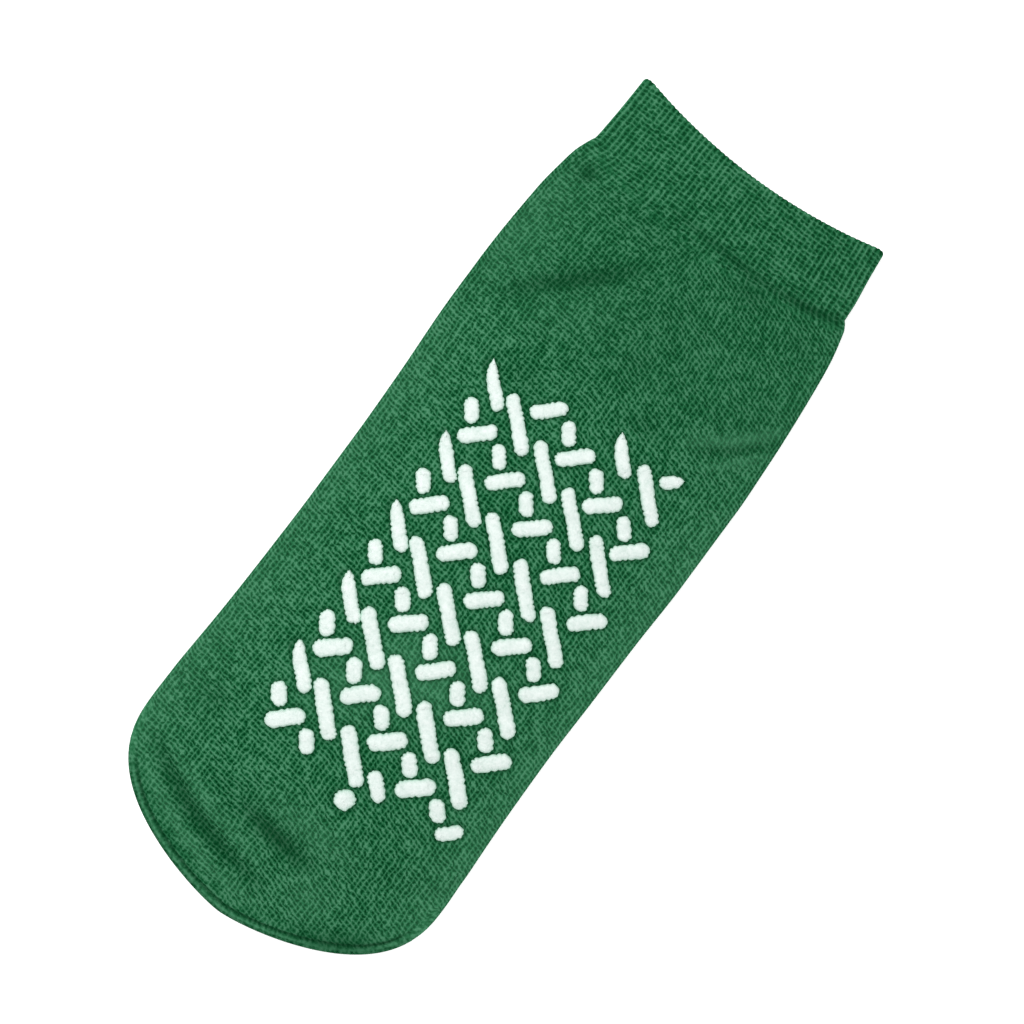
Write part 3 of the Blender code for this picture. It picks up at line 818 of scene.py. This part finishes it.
def stitch_nodes(graph):
    """Height of the knit, 0 in the gaps to 1 on the yarn, and a random number for each stitch."""
    place = graph.node("UVMap", 0, uv_map="stitches")
    across = graph.node("SeparateXYZ", 0, {0: place})
    along = graph.node("SeparateXYZ", 1, {0: place})
    wale = graph.shift(across, "columns stray")
    course = graph.shift(along, "rows stray")
    favour = graph.maths("MAXIMUM", graph.shift(0.5, "stronger way"), PATCH_LIMITS[0])
    favour = graph.maths("MINIMUM", favour, PATCH_LIMITS[1])
    # The plain knit, whose rows climb to the right
    phase = graph.maths("MULTIPLY_ADD", wale, -CLIMB, course)
    beyond = graph.maths("MAXIMUM", graph.maths("SUBTRACT", wale, CLIMB_FROM), 0.0)
    phase = graph.maths("MULTIPLY_ADD", beyond, -CLIMB_MORE, phase)
    columns = graph.maths("MULTIPLY", wave_line(graph, wale, COLUMN_SHARPNESS), COLUMN_STRENGTH)
    plain = mesh_height(graph, wave_line(graph, phase, ROW_SHARPNESS), columns, favour)
    # The cuff: straight ribs with their courses
    rib = graph.maths("MULTIPLY", across, CUFF_RIBS / FLAT_WALES)
    ribs = wave_line(graph, graph.shift(rib, "ribs stray"), RIB_SHARPNESS)
    cuffed = mesh_height(graph, wave_line(graph, course, ROW_SHARPNESS), ribs, favour)
    height = graph.blend(graph.attribute("cuff"), plain, cuffed)
    return height, graph.random(graph.maths("FLOOR", wale), graph.maths("FLOOR", phase))


def knit_material():
    graph = Graph("green_knit_outside")
    height, chance = stitch_nodes(graph)
    # Along the toe's seam the knit is gathered into short pleats across the rim
    pleats = wave_line(graph, graph.attribute("seam_place"), PLEAT_SHARPNESS)
    pleats = graph.maths("MULTIPLY_ADD", pleats, PLEAT_STRENGTH, graph.shift(MOTTLE_LEVEL, "mottle"))
    height = graph.blend(graph.attribute("gather"), height, pleats)
    tone = graph.shift(graph.vary(height, chance, KNIT_CHANCE), "fluff")
    tone = graph.maths("ADD", graph.shift(tone, "uneven yarn"), KNIT_TONE)
    tone = graph.maths("MULTIPLY_ADD", graph.attribute("leg"), LEG_TONE, tone)
    tone = graph.maths("MULTIPLY_ADD", graph.attribute("cuff"), CUFF_TONE, tone)
    colour = graph.ramp(tone, KNIT_RAMP)
    for tint in KNIT_TINTS:
        share = graph.maths("MULTIPLY", graph.attribute(tint.mark), tint.share)
        colour = graph.blend_colour(share, colour, tint.colour)
    relief = graph.maths("MULTIPLY_ADD", graph.noise("fluff"), FLUFF_RELIEF, height)
    return graph.finish(colour, KNIT_LOOK, relief)


def lining_material():
    """The inside of the knit, which is darker and has no marks."""
    graph = Graph("green_knit_inside")
    height, chance = stitch_nodes(graph)
    tone = graph.shift(graph.vary(height, chance, LINING_CHANCE), "lining fluff")
    return graph.finish(graph.ramp(tone, LINING_RAMP), LINING_LOOK, height)


def print_material():
    """Puffy white grip print: chalky, with faint dimples and a greener foot."""
    graph = Graph("white_grip_print")
    tone = PRINT_TONE
    for name in ("print dimple", "print cloud", "print grain"):
        tone = graph.shift(tone, name)
    foot = graph.maths("MULTIPLY", graph.attribute("foot"), FOOT_SHARE)
    colour = graph.blend_colour(foot, graph.ramp(tone, PRINT_RAMP), FOOT_COLOUR)
    grain = graph.maths("MULTIPLY", graph.noise("print grain"), GRAIN_RELIEF)
    return graph.finish(colour, PRINT_LOOK, graph.maths("ADD", graph.noise("print dimple"), grain))


def floor_material():
    graph = Graph("pale_floor")
    graph.put(graph.shader.inputs["Emission Color"], WHITE)
    graph.put(graph.shader.inputs["Emission Strength"], FLOOR_GLOW)
    return graph.finish(graph.ramp(graph.noise("floor"), FLOOR_RAMP), FLOOR_LOOK)


# The knitted piece

def rib_profile(wales):
    """Rounded ribs of the cuff, 1 on a rib and 0 between two."""
    across = np.mod(wales * CUFF_RIBS / FLAT_WALES, 1.0)
    return 1 - np.abs(2 * across - 1) ** RIB_POWER


def collar_shares(points):
    """1 in the cuff and 0 in the leg, by how far each point lies before the cuff's step."""
    section = SECTIONS[CUFF_STEP]
    curve = 1 - np.clip(np.abs(points[:, 0]) / CUFF_STEP_WIDTH, 0, 1) ** 2
    step = LENGTH / 2 - RUN * (section.along + section.bow * curve)
    return smoothstep(-CUFF_FADE / 2, CUFF_FADE / 2, points[:, 1] - step)


# The toe's seam as each point has it, from 0 to 1, but for the place, which is counted in gathers
Seam = namedtuple("Seam", "groove gather place chain shade")


def seam_distances(points, line):
    """How far each point near the toe lies from the seam's line in plan, and the line's nearest point."""
    near = np.flatnonzero(points[:, 1] < line[0, 1] + 2 * GATHER_REACH)
    distance = np.full(len(points), 1.0)
    nearest = np.zeros(len(points), dtype=int)
    batch = 4000
    for start in range(0, len(near), batch):
        chosen = near[start:start + batch]
        gap = ((points[chosen, None, :2] - line[None, :, :]) ** 2).sum(axis=2)
        nearest[chosen] = gap.argmin(axis=1)
        distance[chosen] = np.sqrt(gap.min(axis=1))
    return distance, nearest


def toe_seam(points):
    turns = np.linspace(-1, 1, SEAM_POINTS)
    line = sheet_points(MIDDLES[-1:], np.sin(turns * math.pi / 2), False)[0][:, :2]
    travel = np.concatenate([[0], np.cumsum(np.hypot(*np.diff(line, axis=0).T))])
    distance, nearest = seam_distances(points, line)
    place = travel[nearest]
    across = np.clip(points[:, 0] / (HALF_WIDTH - FOLD_RADIUS), -1, 1)
    toe = SECTIONS[-1]
    rim = LENGTH / 2 - RUN * (toe.along + toe.bow * plan_curve(toe.toe, across))
    inwards = np.where(points[:, 1] > rim - 1e-6, distance, -distance)
    left = travel[-1] - place
    fade = smoothstep(*SEAM_STARTS, place) * smoothstep(*SEAM_ENDS, left)
    groove = bell(inwards - SEAM_INSET, SEAM_HALF) * fade
    gather = (1 - smoothstep(GATHER_CORE, GATHER_REACH, distance)) * fade
    outside = smoothstep(*RIM_FADE, inwards)
    links = 1 - CHAIN_LINK + CHAIN_LINK * np.sin(2 * math.pi * place / CHAIN_PITCH)
    chain = bell(inwards + CHAIN_OUT, CHAIN_HALF) * links * fade
    # Painted shade in the gathers and on the rim outside the seam, left off where the chain is painted
    # light
    shade = np.maximum(GATHER_SHADE * gather, RIM_SHADE * outside * fade) * (1 - chain)
    ends = smoothstep(0, RIM_ENDS, place) * smoothstep(0, RIM_ENDS, left)
    gather = np.maximum(GATHER_SHARE * gather, RIM_SHARE * outside * ends)
    return Seam(groove, gather, place / COURSE, chain, shade)


def press_shares(points, marks):
    """How strongly the print presses on the upper face and on the lower one."""
    upper = [mark for row in marks for mark in row]
    lower = [mirrored(mark) for mark in upper]
    press_up = press_share(points, upper, points[:, 2] > FOLD_RADIUS * 1.9)
    press_down = press_share(points, lower, points[:, 2] < TREAD_LIFT + 0.5 * MM)
    return press_up, press_down


def collar_rows(outer_edge, inner_edge, wales):
    """Points round the collar's rounded edge, from beside the outer edge to the inner one."""
    scallop = rib_profile(wales) * RIB_SCALLOP
    rows = []
    for step in range(1, RIM_STEPS + 1):
        angle = math.pi * step / (RIM_STEPS + 1)
        row = outer_edge + (inner_edge - outer_edge) * (1 - math.cos(angle)) / 2
        row[:, 1] += math.sin(angle) * (COLLAR_BULGE + scallop)
        rows.append(row)
    return rows + [inner_edge]


def knit_faces(outer, inner, starts):
    """Faces of the outside, of the inside turned about, and of the collar's edge between them."""
    faces = list(outer.faces)
    faces += [tuple(index + starts[1] for index in face[::-1]) for face in inner.faces]
    loops = [outer.loops[0]]
    loops += [list(range(start, end)) for start, end in zip(starts[2:], starts[3:])]
    loops.append([index + starts[1] for index in inner.loops[0]])
    for one, other in zip(loops, loops[1:]):
        faces += [face[::-1] for face in join_loops(one, other)]
    return faces


def outer_looks(points, seam, press_and_shadow_ring):
    """What the outside's material reads at each point, with the painted shade and painted light among it.
    """
    painted_shade, painted_light = crease_shades(points)
    return {
        # A painted shadow ring round each stroke, darkest just beside its edge
        "press_and_shadow_ring": bell(press_and_shadow_ring - PRESS_AT_SHADOW_RING, SHADOW_RING_BREADTH) * (press_and_shadow_ring > 0.02),
        # Painted shade in the creases, in the seam's groove, and in its gathers and on its rim
        "painted_shade": np.maximum(np.maximum(painted_shade, seam.groove), seam.shade),
        "painted_light": np.maximum(np.maximum(painted_light, painted_edge_light(points)), CHAIN_HIGHLIGHT * seam.chain),
        "gather": seam.gather,
        "seam_place": seam.place,
    }


def make_knit(marks):
    """The whole knit as one closed piece, and its outer surface for the print to lie on."""
    outer = build_shell(OUTER_ZONES)
    points, places = outer.points, outer.places
    press_up, press_down = press_shares(points, marks)
    points[:, 2] += slack_height(points)
    normals = mesh_normals(points, outer.faces)
    cuff = collar_shares(points)
    # The ribs stand out on the upper face and are cut in on the lower one, which lies on the floor
    ribs = (rib_profile(places[:, 0]) - smoothstep(*RIB_TILTS, normals[:, 2])) * cuff * RIB_HEIGHT
    seam = toe_seam(points)
    detail = ribs - seam.groove * SEAM_GROOVE + seam.chain * CHAIN_HEIGHT - press_up * PRESS_DEPTH
    shaped = points + normals * detail[:, None]

    inner = build_shell(INNER_ZONES)
    inside = inner.points
    inside[:, 2] += slack_height(inside)
    inside = inside - mesh_normals(inside, inner.faces) * WALL

    edge = outer.loops[0]
    lining_edge = ring_points(MIDDLES[:1], ring_layout(True))[0]
    lining_edge[:, 2] += slack_height(lining_edge)
    lining_edge = lining_edge - normals[edge] * WALL
    collar = collar_rows(shaped[edge], lining_edge, places[edge, 0])

    parts = [shaped, inside] + collar
    starts = np.cumsum([0] + [len(part) for part in parts])
    every_point = np.concatenate(parts)
    faces = knit_faces(outer, inner, starts)
    piece = new_piece("knit_tube", every_point, faces)
    every_cuff = np.concatenate([cuff, collar_shares(inside)] + [cuff[edge]] * len(collar))
    add_values(piece.data, "cuff", every_cuff)
    add_values(piece.data, "leg", smoothstep(*LEG_STARTS, every_point[:, 1]))
    rest = np.zeros(len(every_point) - len(shaped))
    for name, values in outer_looks(points, seam, np.maximum(press_up, press_down)).items():
        add_values(piece.data, name, np.concatenate([values, rest]))
    add_stitch_map(piece.data, np.concatenate([places, inner.places] + [places[edge]] * len(collar)))
    piece.data.materials.append(knit_material())
    piece.data.materials.append(lining_material())
    lining = [all(starts[1] <= index < starts[2] for index in face) for face in faces]
    piece.data.polygons.foreach_set("material_index", [int(flag) for flag in lining])
    piece.data.update()
    return piece, shaped, outer.faces


def add_object(name, data):
    item = bpy.data.objects.new(name, data)
    bpy.context.scene.collection.objects.link(item)
    return item


def new_piece(name, points, faces):
    mesh = bpy.data.meshes.new(name)
    mesh.from_pydata(points, [], faces)
    mesh.validate()
    mesh.shade_smooth()
    return add_object(name, mesh)


def add_values(mesh, name, values):
    layer = mesh.attributes.new(name, "FLOAT", "POINT")
    layer.data.foreach_set("value", np.asarray(values, dtype=np.float32))


def read_numbers(items, name):
    numbers = np.empty(len(items), dtype=np.int32)
    items.foreach_get(name, numbers)
    return numbers


def add_stitch_map(mesh, places):
    """Stitch numbers as a map, whole again where the count starts over at the left fold."""
    first = read_numbers(mesh.polygons, "loop_start")
    spots = places[read_numbers(mesh.loops, "vertex_index")]
    highest = np.maximum.reduceat(spots[:, 0], first)
    highest = np.repeat(highest, read_numbers(mesh.polygons, "loop_total"))
    spots[highest - spots[:, 0] > ROUND_WALES / 2, 0] += ROUND_WALES
    layer = mesh.uv_layers.new(name="stitches")
    layer.uv.foreach_set("vector", spots.astype(np.float32).ravel())


# The print's strokes

def outline(mark):
    """Plan outline of a stroke: for each point its place on the middle line and its arm out from it."""
    radius = mark.width / 2
    half = max(0.0, mark.length - mark.width) / 2
    straight = max(1, round(2 * half / OUTLINE_STEP))
    turn = max(6, round(math.pi * radius / OUTLINE_STEP))
    side = np.linspace(-half, half, straight + 1)
    bend = math.pi / 2 - np.arange(1, turn) / turn * math.pi
    ahead = np.full(turn - 1, half)
    axis = np.concatenate([side, ahead, side[::-1], -ahead])
    upright = np.full(straight + 1, math.pi / 2)
    angle = np.concatenate([upright, bend, -upright, math.pi + bend])
    return axis, np.cos(angle) * radius, np.sin(angle) * radius


def waver_sum(wavers, phases, along, sides):
    total = np.zeros(len(along))
    for waver, phase in zip(wavers, phases):
        total += waver.height * np.sin(along / (waver.length * MM) + phase + waver.sides * sides)
    return total


def edge_growth(mark, along, arm_across, phases):
    """How much wider a stroke is at each point, as spread, wavering and notched by the courses."""
    sides = np.sign(arm_across)
    heading = direction(mark.angle)
    height = mark.centre[1] + along * heading[1] + arm_across * heading[0]
    strayed = height + waver_sum(NOTCH_STRAY, phases[4:], along, sides) * MM
    comb = np.abs(np.sin(math.pi * strayed / NOTCH_PITCH + phases[0] + sides * NOTCH_OFFSET))
    uneven = NOTCH_EVENNESS + waver_sum(NOTCH_UNEVEN, phases[5:], along, sides)
    notch = (comb - NOTCH_LEVEL) * NOTCH_DEPTH * uneven
    slow = SPREAD + waver_sum(EDGE_WAVERS, phases[1:4], along, sides) * MM
    return 1 + (notch + slow) / (mark.width / 2)


def stroke_mesh(mark, surface, top):
    """Points, faces and foot shares of one puffy stroke on the knit's upper or lower face."""
    chance = np.random.default_rng(STROKE_SEED + mark.seed)
    axis, arm_along, arm_across = outline(mark)
    count = len(axis)
    along = axis + arm_along
    phases = chance.uniform(0, 2 * math.pi, 6)
    growth = edge_growth(mark, along, arm_across, phases)
    radius = mark.width / 2
    # Cut strokes narrow towards one end
    head = np.clip(-along / (mark.length / 2), 0, 1) ** CUT_POWER * mark.head
    tail = np.clip(along / (mark.length / 2), 0, 1) ** CUT_POWER * mark.tail
    arm_across = arm_across * growth * (1 - head) * (1 - tail)
    arm_along = arm_along * (growth - 0.5 * SPREAD / radius)
    lean = CUT_LEAN * radius * head * (1 if top else -1)
    heading = direction(mark.angle)
    normal = np.array([-heading[1], heading[0]])
    middle = mark.centre[None, :] + axis[:, None] * heading[None, :] + lean[:, None] * normal[None, :]
    arm = arm_along[:, None] * heading[None, :] + arm_across[:, None] * normal[None, :]
    puff = 1 + waver_sum(PUFF_WAVERS, phases[3:5], along, 0)
    points = []
    foot = []
    for share in np.sin(np.linspace(0, 1, STROKE_RINGS + 1) * math.pi / 2):
        plan = middle + arm * share
        rise = (1 - share**PUFF_POWER) ** PUFF_ROOT
        heights = np.array([knit_height(surface, x, y, top) for x, y in plan])
        if top:
            z = heights - SINK + (TREAD_LIFT + SINK) * rise * puff
        else:
            z = (heights + SINK) * (1 - min(1.0, rise * FLOOR_FLATTENING))
        points.append(np.column_stack([plan, z]))
        foot.append(np.full(count, share**FOOT_POWER))
    loops = [list(range(ring * count, (ring + 1) * count)) for ring in range(STROKE_RINGS + 1)]
    faces = []
    for one, other in zip(loops, loops[1:]):
        faces += join_loops(one, other)
    faces.append(tuple(loops[-1]))
    return np.concatenate(points), faces, np.concatenate(foot)


def knit_height(surface, x, y, top):
    """Height of the knit's upper or lower face at a place, found by a ray from well outside it."""
    away = 0.05 if top else -0.05
    return surface.ray_cast(Vector((x, y, away)), Vector((0, 0, -away)))[0].z


def make_print_row(name, marks, surface, top, material):
    points, faces, feet = [], [], []
    count = 0
    for mark in marks:
        new_points, new_faces, foot = stroke_mesh(mark, surface, top)
        points.append(new_points)
        feet.append(foot)
        faces += [tuple(index + count for index in face) for face in new_faces]
        count += len(new_points)
    piece = new_piece(name, np.concatenate(points), faces)
    add_values(piece.data, "foot", np.concatenate(feet))
    shape = bmesh.new()
    shape.from_mesh(piece.data)
    bmesh.ops.remove_doubles(shape, verts=shape.verts, dist=WELD)
    bmesh.ops.recalc_face_normals(shape, faces=shape.faces)
    shape.to_mesh(piece.data)
    shape.free()
    piece.data.materials.append(material)
    return piece


# Camera, floor and light

def make_camera():
    data = bpy.data.cameras.new("camera")
    data.lens = LENS
    data.sensor_width = SENSOR
    camera = add_object("camera", data)
    camera.location = (CAMERA_AIM[0], CAMERA_AIM[1], CAMERA_AIM[2] + FRAME_WIDTH * LENS / SENSOR)
    camera.rotation_euler = (0, 0, math.radians(CAMERA_ROLL))
    bpy.context.scene.camera = camera


def make_floor():
    mesh = bpy.data.meshes.new("floor")
    half = FLOOR_HALF
    corners = [(-half, -half, 0), (half, -half, 0), (half, half, 0), (-half, half, 0)]
    mesh.from_pydata(corners, [], [(0, 1, 2, 3)])
    floor = add_object("floor", mesh)
    floor.location.z = -FLOOR_DROP
    mesh.materials.append(floor_material())


def add_lamp(lamp):
    """A round lamp that points at the middle of the sock."""
    data = bpy.data.lights.new(lamp.name, "AREA")
    data.shape = "DISK"
    data.size = lamp.size
    data.energy = lamp.power
    light = add_object(lamp.name, data)
    light.location = lamp.place
    light.rotation_euler = (-Vector(lamp.place)).to_track_quat("-Z", "Y").to_euler()


def make_light():
    for lamp in LAMPS:
        add_lamp(lamp)
    world = bpy.data.worlds.new("studio")
    world.use_nodes = True
    background = world.node_tree.nodes["Background"]
    background.inputs["Color"].default_value = WHITE
    background.inputs["Strength"].default_value = WORLD_STRENGTH
    bpy.context.scene.world = world
    bpy.context.scene.view_settings.view_transform = "Standard"


def main():
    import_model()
    make_camera()
    make_floor()
    make_light()
    marks = print_marks()
    knit, points, faces = make_knit(marks)
    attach(knit, "root")
    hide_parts("knit_sock")
    surface = BVHTree.FromPolygons([Vector(point) for point in points], faces)
    white = print_material()
    for number, row in enumerate(marks, start=1):
        for side, top in (("upper", True), ("lower", False)):
            chosen = row if top else [mirrored(mark) for mark in row]
            piece = make_print_row(f"{side}_print_row_{number}", chosen, surface, top, white)
            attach(piece, "root")
            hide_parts(f"{side}_tread_row_{number}")


main()
